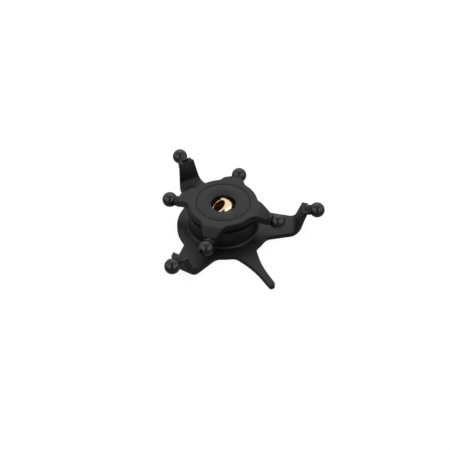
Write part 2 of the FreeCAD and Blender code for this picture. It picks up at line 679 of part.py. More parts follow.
def make_outer_race():
    """Outer race with a rebate at each face for its shield."""
    body = ring_body("bearing_outer_race", [
        (OUTER_R, BEARING_LOW_Z),
        (OUTER_R, BEARING_TOP_Z),
        (REBATE_R, BEARING_TOP_Z),
        (REBATE_R, f"{BEARING_MID_Z} + {SHIELD_IN}"),
        (OUTER_LAND_R, f"{BEARING_MID_Z} + {SHIELD_IN}"),
        (OUTER_LAND_R, f"{BEARING_MID_Z} - {SHIELD_IN}"),
        (REBATE_R, f"{BEARING_MID_Z} - {SHIELD_IN}"),
        (REBATE_R, BEARING_LOW_Z),
    ])
    groove_cut(body, "outer")
    return body


def make_shields():
    upper = ring_body("bearing_upper_shield", box_corners(
        SHIELD_R, REBATE_R, f"{BEARING_MID_Z} + {SHIELD_IN}", f"{BEARING_MID_Z} + {SHIELD_OUT}"))
    lower = ring_body("bearing_lower_shield", box_corners(
        SHIELD_R, REBATE_R, f"{BEARING_MID_Z} - {SHIELD_OUT}", f"{BEARING_MID_Z} - {SHIELD_IN}"))
    return [upper, lower]


def make_cage():
    """Crown cage: a ring open on its lower side, with one radial pocket for each ball."""
    body = ring_body("bearing_cage", box_corners(
        f"{PITCH_R} - sizes.cage_wall / 2", f"{PITCH_R} + sizes.cage_wall / 2", CAGE_LOW_Z, CAGE_TOP_Z))
    section = new_sketch(body, "cage_pocket_section", "YZ_Plane")
    draw_circle(section, "pocket", "0", BEARING_MID_Z, "sizes.bearing_ball_dia / 2 + sizes.cage_clearance")
    hole = pocket(body, "cage_pocket", section, f"{PITCH_R} + sizes.cage_wall", reverse=True)
    around(body, "cage_pockets", [hole], "sizes.bearing_ball_count")
    return body


def make_bearing_balls():
    body = new_body("bearing_balls")
    ball = body.newObject("PartDesign::AdditiveSphere", "rolling_ball")
    ball.AttachmentSupport = [(origin_item(body, "XY_Plane"), "")]
    ball.MapMode = "FlatFace"
    ball.setExpression("Radius", "sizes.bearing_ball_dia / 2")
    ball.setExpression("AttachmentOffset.Base.x", PITCH_R)
    ball.setExpression("AttachmentOffset.Base.z", BEARING_MID_Z)
    doc.recompute()
    around(body, "rolling_balls", [ball], "sizes.bearing_ball_count")
    return body


# ---------------------------------------------------------------- retaining rings

def make_clip(label, r_in, r_out, lug_r, z_low):
    """Open ring with an eye at each end for the pliers."""
    body = new_body(label)
    section = new_sketch(body, f"{label}_section", "XZ_Plane")
    draw_outline(section, box_corners(r_in, r_out, z_low, f"{z_low} + sizes.clip_thickness"))
    ring = body.newObject("PartDesign::Revolution", f"{label}_ring")
    ring.Profile = section
    ring.ReferenceAxis = (section, ["V_Axis"])
    ring.Midplane = True
    ring.setExpression("Angle", "360 - sizes.clip_gap_angle")
    end_angle = "(180 - sizes.clip_gap_angle / 2)"
    for hand, sign in (("left", "1"), ("right", "-1")):
        lug = new_sketch(body, f"{label}_{hand}_lug", "XY_Plane", rise=z_low)
        draw_circle(lug, "lug", f"{lug_r} * cos({end_angle})", f"{sign} * {lug_r} * sin({end_angle})",
                    "sizes.clip_lug_dia / 2")
        pad(body, f"{label}_{hand}_eye", lug, "sizes.clip_thickness")
    for hand, sign in (("left", "1"), ("right", "-1")):
        eye = new_sketch(body, f"{label}_{hand}_hole", "XY_Plane", rise=z_low)
        draw_circle(eye, "eye", f"{lug_r} * cos({end_angle})", f"{sign} * {lug_r} * sin({end_angle})",
                    "sizes.clip_eye_dia / 2")
        pocket(body, f"{label}_{hand}_bore", eye, "sizes.clip_thickness", reverse=True)
    return body


def make_clips():
    snap_out = f"({OUTER_R} + sizes.clip_groove_depth)"
    snap_in = f"({snap_out} - sizes.clip_width)"
    snap = make_clip("bearing_snap_ring", snap_in, snap_out, f"({snap_in} + 0.1)", BEARING_TOP_Z)
    clip_in = f"({SLEEVE_R} - sizes.clip_groove_depth)"
    clip_out = f"({clip_in} + sizes.clip_width)"
    clip = make_clip("sleeve_circlip", clip_in, clip_out, f"({clip_out} - 0.1)",
                     f"({BEARING_LOW_Z} - sizes.clip_thickness)")
    return [snap, clip]


# ---------------------------------------------------------------- the assembly

nodes = [make_lower_plate(), make_upper_plate(), make_seat_cap()]
nodes.append(make_seat_half("ball_seat_upper", 1))
nodes.append(make_seat_half("ball_seat_lower", -1))
nodes.append(make_uniball())
for spot, turn in (("fore", 90), ("left", 210), ("right", 330)):
    nodes.append(make_stud(f"servo_ball_{spot}", "sizes.servo_radius", "sizes.servo_ball_rise", str(turn)))
for number in range(4):
    turn = f"(sizes.link_rest_angle + {90 * number})"
    nodes.append(make_stud(f"link_ball_{number + 1}", "sizes.link_radius", "0", turn))
nodes += [make_inner_race(), make_outer_race(), *make_shields(), make_cage(), make_bearing_balls()]
nodes += make_clips()
doc.recompute()

for item in doc.Objects:
    if "Invalid" in item.State or "Error" in item.State:
        raise RuntimeError(f"{item.Label} did not rebuild: {item.State}")
for node in nodes:
    if node.Shape.isNull() or not node.Shape.isValid() or not node.Shape.Solids:
        raise RuntimeError(f"{node.Label} is not a sound solid")

os.makedirs("parts", exist_ok=True)
for node in nodes:
    node.Shape.exportStep(f"parts/{node.Label}.step")
    box = node.Shape.BoundBox
    print(f"{node.Label:24s} solids {len(node.Shape.Solids):3d}  volume {node.Shape.Volume:9.3f}  "
          f"x {box.XMin:.2f}..{box.XMax:.2f}  y {box.YMin:.2f}..{box.YMax:.2f}  "
          f"z {box.ZMin:.2f}..{box.ZMax:.2f}")
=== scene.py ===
"""Dresses the swashplate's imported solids.

Moulded plates, polished ball studs, brass mast ball and its seat, ball bearing, and the studio.
"""

import json
import math

import bmesh
import bpy
from bpy.props import FloatProperty, FloatVectorProperty, IntProperty, PointerProperty
from bpy.types import Operator, Panel, PropertyGroup
from mathutils import Matrix, Vector


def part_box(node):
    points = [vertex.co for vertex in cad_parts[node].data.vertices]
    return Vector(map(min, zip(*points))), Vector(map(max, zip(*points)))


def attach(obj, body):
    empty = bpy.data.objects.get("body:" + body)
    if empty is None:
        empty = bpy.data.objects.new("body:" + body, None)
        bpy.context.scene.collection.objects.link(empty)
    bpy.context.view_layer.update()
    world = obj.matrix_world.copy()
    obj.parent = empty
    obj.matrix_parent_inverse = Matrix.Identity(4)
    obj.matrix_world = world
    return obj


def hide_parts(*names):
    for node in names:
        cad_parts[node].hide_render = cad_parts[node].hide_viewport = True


bl_info = {
    "name": "Helicopter Swashplate",
    "version": (1, 0, 0),
    "blender": (4, 5, 0),
    "location": "View3D > Sidebar > Swashplate",
    "description": "Builds the finished swashplate on its packed solids",
    "category": "Object",
}

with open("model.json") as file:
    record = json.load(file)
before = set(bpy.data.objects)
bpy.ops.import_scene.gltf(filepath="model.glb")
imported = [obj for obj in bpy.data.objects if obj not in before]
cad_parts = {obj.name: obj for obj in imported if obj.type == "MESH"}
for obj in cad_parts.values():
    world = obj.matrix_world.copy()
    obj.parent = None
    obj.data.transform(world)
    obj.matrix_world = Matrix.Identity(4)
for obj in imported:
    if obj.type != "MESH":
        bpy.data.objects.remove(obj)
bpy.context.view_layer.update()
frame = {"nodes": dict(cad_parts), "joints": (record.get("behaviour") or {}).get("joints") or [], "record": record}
NODES = frame["nodes"]
MM = 0.001

LINK_BALLS = [f"link_ball_{number}" for number in range(1, 5)]
SERVO_BALLS = ["servo_ball_fore", "servo_ball_left", "servo_ball_right"]
ROLLING_BALLS = 14
UPRIGHT_TILT = -34  # degrees of ball_tilt that bring the mast ball's bore to the mast axis

FINE_EDGE_SHARE = 0.6  # rounding of the rotor's edges, as a share of the lower plate's
WELD_DISTANCE = 0.0005 * MM
FLAT_ANGLE = 0.4  # degrees; faces that meet at less are one face
ROUNDED_ANGLE = 32  # degrees; edges sharper than this are rounded
SMOOTH_ANGLE = 28  # degrees; edges blunter than this are shaded smooth
STUD_SMOOTH_ANGLE = 40
SHANK_SIDES = 32
RING_SCALE = math.pi / 20  # wave texture scale times the pitch of the lathe rings

TABLE_HALF = 1.5
EYE = Vector((-112.124, -202.343, 212.338)) * MM
LOOK_AT = Vector((-2.543, -5.627, 0)) * MM
FOCAL_LENGTH = 86.86
SENSOR_WIDTH = 36
NEAREST = 0.01
LAMP_DISTANCE = 0.4
LAMPS = (
    # name, its power in the studio, share of it, width, height, way there (aside, toward the eye, up)
    ("left_softbox", "side_light", 1, 0.13, 0.26, (-0.572, 0.6, 0.56)),
    ("left_panel", "side_light", 0.6, 0.12, 0.2, (-0.9, 0.05, 0.42)),
    ("right_softbox", "side_light", 1, 0.13, 0.26, (0.572, 0.6, 0.56)),
    ("right_panel", "side_light", 0.6, 0.12, 0.2, (0.9, 0.05, 0.42)),
    ("rear_softbox", "rear_light", 1, 0.5, 0.3, (0, -0.75, 1)),
)


# ---------------------------------------------------------------- sizes and colours a user may change

class SwashplateFinish(PropertyGroup):
    """Colours and surface qualities."""

    plate_colour: FloatVectorProperty(
        name="Plate colour", description="Carbon-filled nylon of both plates",
        subtype="COLOR", size=3, min=0, max=1, default=(0.0029, 0.0027, 0.0028))
    ball_colour: FloatVectorProperty(
        name="Ball colour", description="Moulded ball studs",
        subtype="COLOR", size=3, min=0, max=1, default=(0.003, 0.0032, 0.0025))
    seat_colour: FloatVectorProperty(
        name="Seat colour", description="Self-lubricating seat rings",
        subtype="COLOR", size=3, min=0, max=1, default=(0.014, 0.006, 0.0025))
    brass_colour: FloatVectorProperty(
        name="Brass colour", description="Turned mast ball",
        subtype="COLOR", size=3, min=0, max=1, default=(0.9, 0.72, 0.49))
    # Painted shade: dark red-brown painted on the walls of the mast ball's bore, standing in for the shade and
    # repeated reflections inside the hole.
    bore_shade_colour: FloatVectorProperty(
        name="Bore colour", description="Shade-painted bore of the mast ball",
        subtype="COLOR", size=3, min=0, max=1, default=(0.42, 0.15, 0.06))
    steel_colour: FloatVectorProperty(
        name="Steel colour", description="Races and rolling balls",
        subtype="COLOR", size=3, min=0, max=1, default=(0.62, 0.62, 0.63))
    cage_colour: FloatVectorProperty(
        name="Cage colour", description="Natural nylon cage",
        subtype="COLOR", size=3, min=0, max=1, default=(0.55, 0.48, 0.33))
    grain: FloatProperty(
        name="Mould grain", description="Height of the spark-eroded mould texture",
        unit="LENGTH", default=0.012 * MM, min=0, precision=6)


class SwashplateSizes(PropertyGroup):
    """Sizes of what is finished here."""

    edge_round: FloatProperty(
        name="Edge rounding", description="Rounding of the moulded edges",
        unit="LENGTH", default=0.16 * MM, min=0, precision=5)
    edge_steps: IntProperty(
        name="Rounding steps", description="Facets across each rounded edge", default=3, min=1, max=6)
    stud_seat: FloatProperty(
        name="Stud seat", description="Ball centre to the collar's end face",
        unit="LENGTH", default=1.75 * MM, min=0, precision=5)
    shank_diameter: FloatProperty(
        name="Shank diameter", description="Shank pressed into the collar",
        unit="LENGTH", default=1.5 * MM, min=0, precision=5)
    stud_segments: IntProperty(
        name="Ball segments", description="Facets round each stud's ball", default=96, min=16, max=128)
    roller_detail: IntProperty(
        name="Rolling ball detail", description="Subdivision of each rolling ball",
        default=4, min=2, max=5)


class SwashplateStage(PropertyGroup):
    """Studio: a white tent with an opening in front, lit through its sides and its back."""

    floor_colour: FloatVectorProperty(
        name="Floor colour", description="Pale table under the part",
        subtype="COLOR", size=3, min=0, max=1, default=(0.2, 0.197, 0.193))
    floor_glow: FloatProperty(
        name="Floor glow", description="Share of the table's white that needs no lamp",
        default=0.88, min=0)
    side_light: FloatProperty(
        name="Side softboxes", description="Power of each side softbox",
        unit="POWER", default=0.26, min=0)
    rear_light: FloatProperty(
        name="Rear softbox", description="Power of the softbox above and behind",
        unit="POWER", default=0.56, min=0)
    room_light: FloatProperty(
        name="Room light", description="Strength of the white tent as a lamp", default=0.52, min=0)
    opening: FloatProperty(
        name="Opening", description="Half width of the tent's opening, as the sine of its angle",
        default=0.2, min=0, max=1)


# ---------------------------------------------------------------- shader maths

class Shade:
    """A shader value. Arithmetic on it adds Math nodes to its recipe."""

    def __init__(self, recipe, socket):
        self.recipe = recipe
        self.socket = socket

    def math(self, operation, *values):
        return self.recipe.node("ShaderNodeMath", {"operation": operation}, dict(enumerate(values)))

    def __add__(self, other):
        return self.math("ADD", self, other)

    def __sub__(self, other):
        return self.math("SUBTRACT", self, other)

    def __rsub__(self, other):
        return self.math("SUBTRACT", other, self)

    def __mul__(self, other):
        return self.math("MULTIPLY", self, other)

    def __pow__(self, other):
        return self.math("POWER", self, other)

    __radd__ = __add__
    __rmul__ = __mul__

    def between(self, low, high):
        """0 below low, 1 above high, smooth in between."""
        settings = {"interpolation_type": "SMOOTHSTEP"}
        inputs = {"Value": self, "From Min": low, "From Max": high}
        return self.recipe.node("ShaderNodeMapRange", settings, inputs)


class Tree:
    """A node tree under construction."""

    def __init__(self, tree):
        self.tree = tree

    def node(self, kind, settings, inputs, output=0):
        """Adds a node with its settings, then fills its sockets with numbers, values or lists of them."""
        made = self.tree.nodes.new(kind)
        for key, setting in settings.items():
            setattr(made, key, setting)
        for key, item in inputs.items():
            for part in item if isinstance(item, list) else [item]:
                if isinstance(part, Shade):
                    self.tree.links.new(part.socket, made.inputs[key])
                else:
                    made.inputs[key].default_value = part
        return None if output is None else Shade(self, made.outputs[output])


class Growth(Tree):
    """A Geometry Nodes tree with named inputs. It ends by realising and painting its instances."""

    def __init__(self, name, **inputs):
        super().__init__(bpy.data.node_groups.new(name, "GeometryNodeTree"))
        for title, kind in {**inputs, "Material": "Material"}.items():
            self.tree.interface.new_socket(title, in_out="INPUT", socket_type=f"NodeSocket{kind}")
        self.tree.interface.new_socket("Geometry", in_out="OUTPUT", socket_type="NodeSocketGeometry")
        self.entry = self.tree.nodes.new("NodeGroupInput")

    def given(self, title):
        return Shade(self, self.entry.outputs[title])

    def vector(self, x, y, z):
        return self.node("ShaderNodeCombineXYZ", {}, {"X": x, "Y": y, "Z": z})

    def moved(self, geometry, place, turn=(0, 0, 0)):
        inputs = {"Geometry": geometry, "Translation": place, "Rotation": turn}
        return self.node("GeometryNodeTransform", {}, inputs)

    def around_mast(self, item, count, radius, height, first_angle):
        """Copies of item, which looks along +X, evenly about the mast."""
        number = self.node("GeometryNodeInputIndex", {}, {})
        angle = number * (count ** -1) * (2 * math.pi) + first_angle
        x, y = (angle.math(turn, angle) * radius for turn in ("COSINE", "SINE"))
        place = self.vector(x, y, height)
        points = self.node("GeometryNodePoints", {}, {"Count": count, "Position": place})
        inputs = {"Points": points, "Instance": item, "Rotation": self.vector(0, 0, angle)}
        return self.node("GeometryNodeInstanceOnPoints", {}, inputs)

    def close(self, geometry):
        real = self.node("GeometryNodeRealizeInstances", {}, {"Geometry": geometry})
        inputs = {"Geometry": real, "Material": self.given("Material")}
        painted = self.node("GeometryNodeSetMaterial", {}, inputs)
        self.node("NodeGroupOutput", {}, {"Geometry": painted}, None)
        return self.tree


class Recipe(Tree):
    """A material under construction, with its Principled shader."""

    def __init__(self, name):
        self.material = bpy.data.materials.new(name)
        self.material.use_nodes = True
        super().__init__(self.material.node_tree)
        self.shader = self.tree.nodes["Principled BSDF"]
        self.place = self.node("ShaderNodeTexCoord", {}, {}, "Object")

    def noise(self, size, detail=2.0, roughness=0.5):
        """Noise whose features are about size metres across."""
        inputs = {"Vector": self.place, "Scale": 1 / size, "Detail": detail, "Roughness": roughness}
        return self.node("ShaderNodeTexNoise", {}, inputs, "Fac")

    def specks(self, size, amount):
        """Small round specks, amount from 0 to 1."""
        inputs = {"Vector": self.place, "Scale": 1 / size}
        cells = self.node("ShaderNodeTexVoronoi", {}, inputs, "Distance")
        return 1 - cells.between(amount * 0.1, amount * 0.3)

    def facing(self, turn):
        """Object coordinates after a rotation."""
        inputs = {"Vector": self.place, "Rotation": turn}
        return self.node("ShaderNodeMapping", {"vector_type": "POINT"}, inputs, "Vector")

    def turned(self, turn, pitch):
        """Rings about an axis, for lathe marks; turn is the rotation that brings the axis to Z."""
        settings = {"wave_type": "RINGS", "rings_direction": "Z", "wave_profile": "SIN"}
        inputs = {
            "Vector": self.facing(turn), "Scale": RING_SCALE / pitch, "Distortion": 0.6, "Detail": 1.0}
        return self.node("ShaderNodeTexWave", settings, inputs, "Fac")

    def mixed(self, factor, first, second):
        """Mix of two colours, each a value or four numbers."""
        return self.node("ShaderNodeMix", {"data_type": "RGBA"}, {0: factor, 6: first, 7: second}, 2)

    def blend_colour(self, factor, first, second):
        return self.mixed(factor, (*first, 1), (*second, 1))

    def bump(self, height, distance):
        inputs = {"Height": height, "Distance": distance, "Strength": 1.0}
        return self.node("ShaderNodeBump", {}, inputs, "Normal")

    def set(self, **sockets):
        """Fills the Principled shader; an underscore in a name stands for a space."""
        for key, item in sockets.items():
            socket = self.shader.inputs[key.replace("_", " ")]
            if isinstance(item, Shade):
                self.tree.links.new(item.socket, socket)
            else:
                socket.default_value = item
        return self.material


def darker(colour, share):
    return tuple(channel * share for channel in colour)


# ---------------------------------------------------------------- materials

def plate_nylon(finish):
    """Carbon-filled nylon: fine spark-eroded grain, soft flow mottling, a few pale dust specks."""
    recipe = Recipe("plate_nylon")
    grain = recipe.noise(0.16 * MM, 3.0, 0.6)
    flow = recipe.noise(3.5 * MM, 2.0)
    scuffs = recipe.noise(0.9 * MM, 4.0, 0.65).between(0.58, 0.74)
    dust = recipe.specks(1.1 * MM, 0.35)
    tone = 0.25 + flow * 0.35 + scuffs * 0.2 + dust * 0.35
    deep, pale = darker(finish.plate_colour, 0.8), darker(finish.plate_colour, 1.55)
    colour = recipe.blend_colour(tone, deep, pale)
    rough = 0.4 + flow * 0.08 + grain * 0.06 - scuffs * 0.05
    normal = recipe.bump(grain + flow * 2.0, finish.grain)
    return recipe.set(
        Base_Color=colour, Roughness=rough, Normal=normal, IOR=1.5, Specular_IOR_Level=0.3)


def ball_nylon(finish):
    """Polished nylon of the ball studs, with soft mottling in tone and gloss."""
    recipe = Recipe("ball_nylon")
    flow = recipe.noise(1.4 * MM, 2.0)
    fine = recipe.noise(0.1 * MM, 2.0, 0.6)
    deep, pale = darker(finish.ball_colour, 0.85), darker(finish.ball_colour, 1.3)
    colour = recipe.blend_colour(flow, deep, pale)
    rough = 0.2 + flow * 0.1 + fine * 0.05
    normal = recipe.bump(fine * 0.5 + flow, finish.grain * 0.4)
    return recipe.set(
        Base_Color=colour, Roughness=rough, Normal=normal, IOR=1.52, Specular_IOR_Level=0.4)


def seat_nylon(finish):
    """Smooth self-lubricating plastic with turning marks about the mast."""
    recipe = Recipe("seat_nylon")
    rings = recipe.turned((0, 0, 0), 0.12 * MM)
    flow = recipe.noise(0.8 * MM)
    colour = recipe.blend_colour(flow, darker(finish.seat_colour, 0.8), darker(finish.seat_colour, 1.2))
    rough = 0.3 + flow * 0.1
    normal = recipe.bump(rings, 0.002 * MM)
    return recipe.set(Base_Color=colour, Roughness=rough, Normal=normal, Specular_IOR_Level=0.15)


def turned_brass(finish, turn):
    """Lathe-turned brass with fine rings about the ball's own bore, whose walls are painted dark red-brown as
    shade.
    """
    recipe = Recipe("turned_brass")
    rings = recipe.turned(turn, 0.09 * MM)
    stain = recipe.noise(1.6 * MM, 3.0, 0.6)
    fine = recipe.noise(0.12 * MM, 2.0)
    dulled = darker(finish.brass_colour, 0.84)
    bright = recipe.blend_colour(stain.between(0.35, 0.75), finish.brass_colour, dulled)
    own = recipe.facing(turn)
    x, y = (recipe.node("ShaderNodeSeparateXYZ", {}, {"Vector": own}, axis) for axis in "XY")
    bore = next(mount for mount in frame["record"]["mounts"] if mount["name"] == "mast_bore")
    bore_radius = bore["dims"]["r_mm"] * MM
    # Painted shade: within the bore radius the colour turns to the dark bore colour, for the shade inside the
    # hole; the bore is also made rougher.
    outside_painted_bore = ((x * x + y * y) ** 0.5).between(bore_radius * 1.01, bore_radius * 1.06)
    colour = recipe.mixed(outside_painted_bore, (*finish.bore_shade_colour, 1), bright)
    rough = 0.14 + stain * 0.1 + fine * 0.04 + (1 - outside_painted_bore) * 0.2
    normal = recipe.bump(rings + fine * 0.4, 0.0016 * MM)
    return recipe.set(Base_Color=colour, Metallic=1.0, Roughness=rough, Normal=normal)


def ground_steel(finish):
    """Bearing steel, ground round about the mast."""
    recipe = Recipe("ground_steel")
    rings = recipe.turned((0, 0, 0), 0.07 * MM)
    film = recipe.noise(1.2 * MM, 3.0)
    colour = recipe.blend_colour(film, darker(finish.steel_colour, 0.85), finish.steel_colour)
    rough = 0.2 + film * 0.12
    normal = recipe.bump(rings, 0.001 * MM)
    return recipe.set(Base_Color=colour, Metallic=1.0, Roughness=rough, Normal=normal)


def pressed_steel(finish):
    """Thin pressed sheet of the bearing shields."""
    recipe = Recipe("pressed_steel")
    cloud = recipe.noise(0.9 * MM, 4.0, 0.6)
    fine = recipe.noise(0.08 * MM, 2.0)
    deep, pale = darker(finish.steel_colour, 0.6), darker(finish.steel_colour, 0.85)
    colour = recipe.blend_colour(cloud, deep, pale)
    rough = 0.34 + cloud * 0.14
    normal = recipe.bump(cloud + fine * 0.5, 0.003 * MM)
    return recipe.set(Base_Color=colour, Metallic=1.0, Roughness=rough, Normal=normal)


def spring_steel(finish):
    """Phosphated spring steel of the retaining rings."""
    recipe = Recipe("spring_steel")
    cloud = recipe.noise(0.5 * MM, 4.0, 0.7)
    deep, pale = darker(finish.steel_colour, 0.12), darker(finish.steel_colour, 0.26)
    colour = recipe.blend_colour(cloud, deep, pale)
    rough = 0.42 + cloud * 0.2
    normal = recipe.bump(cloud, 0.004 * MM)
    return recipe.set(Base_Color=colour, Metallic=0.8, Roughness=rough, Normal=normal)


def cage_nylon(finish):
    """Natural nylon of the ball cage."""
    recipe = Recipe("cage_nylon")
    cloud = recipe.noise(0.6 * MM, 3.0)
    colour = recipe.blend_colour(cloud, darker(finish.cage_colour, 0.85), finish.cage_colour)
    rough = 0.4 + cloud * 0.1
    normal = recipe.bump(cloud, 0.004 * MM)
    return recipe.set(Base_Color=colour, Roughness=rough, Normal=normal)


def get_material(name, make, *details):
    """The material of that name, made on first use."""
    found = bpy.data.materials.get(name)
    return found or make(*details)


def paint(piece, material):
    piece.data.materials.clear()
    piece.data.materials.append(material)


# ---------------------------------------------------------------- mesh helpers

def as_plain_mesh(piece):
    """Turns a piece's modifiers into plain mesh."""
    evaluated = piece.evaluated_get(bpy.context.evaluated_depsgraph_get())
    mesh = bpy.data.meshes.new_from_object(evaluated)
    piece.modifiers.clear()
    piece.data = mesh
    mesh.name = piece.name


def shade_by_angle(mesh, degrees):
    """Smooth shading with sharp edges wherever faces meet at more than the angle."""
    work = bmesh.new()
    work.from_mesh(mesh)
    limit = math.radians(degrees)
    for face in work.faces:
        face.smooth = True
    for edge in work.edges:
        edge.smooth = len(edge.link_faces) == 2 and edge.calc_face_angle() < limit
    work.to_mesh(mesh)
    work.free()


def welded_copy(node, name):
    """A copy of a solid's mesh with its loose triangles joined and its flat faces made whole."""
    mesh = NODES[node].data.copy()
    mesh.name = name
    work = bmesh.new()
    work.from_mesh(mesh)
    bmesh.ops.remove_doubles(work, verts=work.verts, dist=WELD_DISTANCE)
    bmesh.ops.dissolve_limit(
        work, angle_limit=math.radians(FLAT_ANGLE), verts=work.verts, edges=work.edges)
    work.to_mesh(mesh)
    work.free()
    piece = bpy.data.objects.new(name, mesh)
    bpy.context.scene.collection.objects.link(piece)
    return piece


def finished_copy(node, name, material, width=0, steps=1):
    """A solid as it leaves its mould or lathe: edges rounded by width, curves shaded smooth."""
    piece = welded_copy(node, name)
    if width > 0:
        bevel = piece.modifiers.new("edge_rounding", "BEVEL")
        bevel.width = width
        bevel.segments = steps
        bevel.limit_method = "ANGLE"
        bevel.angle_limit = math.radians(ROUNDED_ANGLE)
        bevel.use_clamp_overlap = True
        as_plain_mesh(piece)
    shade_by_angle(piece.data, SMOOTH_ANGLE)
    paint(piece, material)
    return piece


def grow(name, tree, **inputs):
    """A plain mesh that a Geometry Nodes tree makes from the values of its named inputs."""
    piece = bpy.data.objects.new(name, bpy.data.meshes.new(name))
    bpy.context.scene.collection.objects.link(piece)
    modifier = piece.modifiers.new("growth", "NODES")
    modifier.node_group = tree
    for socket in tree.interface.items_tree:
        if socket.in_out == "INPUT":
            modifier[socket.identifier] = inputs[socket.name]
    as_plain_mesh(piece)
    shade_by_angle(piece.data, STUD_SMOOTH_ANGLE)
    return piece


def settle(piece, body, slot, *nodes):
    """Fixes a finished piece to its body in place of the solids it stands for."""
    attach(piece, body)
    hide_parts(*nodes)


# ---------------------------------------------------------------- operators

class SWASHPLATE_OT_plates(Operator):
    """Finish the moulded plates and the inlaid cap"""

    bl_idname = "swashplate.plates"
    bl_label = "Plates and cap"

    def execute(self, context):
        sizes = context.scene.swashplate_sizes
        material = get_material("plate_nylon", plate_nylon, context.scene.swashplate_finish)
        for node, body, share in (
                ("lower_plate", "stationary", 1),
                ("upper_plate", "rotor", FINE_EDGE_SHARE),
                ("seat_cap", "rotor", FINE_EDGE_SHARE)):
            width = sizes.edge_round * share
            piece = finished_copy(node, f"moulded_{node}", material, width, sizes.edge_steps)
            settle(piece, body, "moulded_plastic", node)
        return {"FINISHED"}


class SWASHPLATE_OT_mast_ball(Operator):
    """Finish the brass mast ball and the two seat rings"""

    bl_idname = "swashplate.mast_ball"
    bl_label = "Mast ball and seat"

    def execute(self, context):
        finish = context.scene.swashplate_finish
        tilt = next(joint for joint in frame["joints"] if joint["name"] == "ball_tilt")
        upright = Matrix.Rotation(math.radians(UPRIGHT_TILT), 3, Vector(tilt["axis"]))
        brass = get_material("turned_brass", turned_brass, finish, tuple(upright.to_euler()))
        ball = finished_copy("uniball", "brass_mast_ball", brass)
        settle(ball, "mast_ball", "brass", "uniball")
        nylon = get_material("seat_nylon", seat_nylon, finish)
        for node in ("ball_seat_upper", "ball_seat_lower"):
            ring = finished_copy(node, f"nylon_{node}", nylon)
            settle(ring, "seat", "seat_plastic", node)
        return {"FINISHED"}


def stud_tree():
    """Balls on their shanks, evenly about the mast, each cut flat where it seats on its collar."""
    growth = Growth(
        "stud_ring", Studs="Int", Segments="Int", Ring_radius="Float", Height="Float",
        First_angle="Float", Ball_diameter="Float", Seat="Float", Shank_diameter="Float",
        Shank_length="Float")
    given = growth.given
    segments = given("Segments")
    inputs = {"Segments": segments, "Rings": segments * 0.5, "Radius": given("Ball_diameter") * 0.5}
    sphere = growth.node("GeometryNodeMeshUVSphere", {}, inputs, "Mesh")
    sphere = growth.moved(sphere, (0, 0, 0), (0, math.pi / 2, 0))
    spot = growth.node("GeometryNodeInputPosition", {}, {})
    x, y, z = (growth.node("ShaderNodeSeparateXYZ", {}, {"Vector": spot}, axis) for axis in "XYZ")
    seated = growth.vector(x.math("MAXIMUM", x, given("Seat") * -1), y, z)
    ball = growth.node("GeometryNodeSetPosition", {}, {"Geometry": sphere, "Position": seated})
    length = given("Shank_length")
    inputs = {"Vertices": SHANK_SIDES, "Radius": given("Shank_diameter") * 0.5, "Depth": length}
    rod = growth.node("GeometryNodeMeshCylinder", {}, inputs, "Mesh")
    middle = growth.vector((given("Seat") + length * 0.5) * -1, 0, 0)
    shank = growth.moved(rod, middle, (0, math.pi / 2, 0))
    stud = growth.node("GeometryNodeJoinGeometry", {}, {"Geometry": [ball, shank]})
    return growth.close(growth.around_mast(
        stud, given("Studs"), given("Ring_radius"), given("Height"), given("First_angle")))


class SWASHPLATE_OT_ball_studs(Operator):
    """Finish the polished ball studs of both plates"""

    bl_idname = "swashplate.ball_studs"
    bl_label = "Ball studs"

    def execute(self, context):
        sizes = context.scene.swashplate_sizes
        material = get_material("ball_nylon", ball_nylon, context.scene.swashplate_finish)
        tree = stud_tree()
        mounts = {mount["name"]: Vector(mount["pos_m"]) for mount in frame["record"]["mounts"]}
        low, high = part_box(SERVO_BALLS[0])
        ball = high.z - low.z
        for name, body, nodes, first in (
                ("link_ball_studs", "rotor", LINK_BALLS, "rotor_link_1"),
                ("servo_ball_studs", "stationary", SERVO_BALLS, "servo_link_fore")):
            spot = mounts[first]
            radius = math.hypot(spot.x, spot.y)
            reach = high.y - low.y - ball / 2 - sizes.stud_seat
            studs = grow(
                name, tree, Studs=len(nodes), Segments=sizes.stud_segments, Ring_radius=radius,
                Height=spot.z, First_angle=math.atan2(spot.y, spot.x), Ball_diameter=ball,
                Seat=sizes.stud_seat, Shank_diameter=sizes.shank_diameter, Shank_length=reach,
                Material=material)
            settle(studs, body, "ball_plastic", *nodes)
        return {"FINISHED"}


def roller_tree():
    """The bearing's rolling balls, evenly about the mast."""
    growth = Growth(
        "roller_ring", Balls="Int", Detail="Int", Pitch_radius="Float", Height="Float", Diameter="Float")
    given = growth.given
    inputs = {"Radius": given("Diameter") * 0.5, "Subdivisions": given("Detail")}
    ball = growth.node("GeometryNodeMeshIcoSphere", {}, inputs, "Mesh")
    return growth.close(growth.around_mast(
        ball, given("Balls"), given("Pitch_radius"), given("Height"), 0))


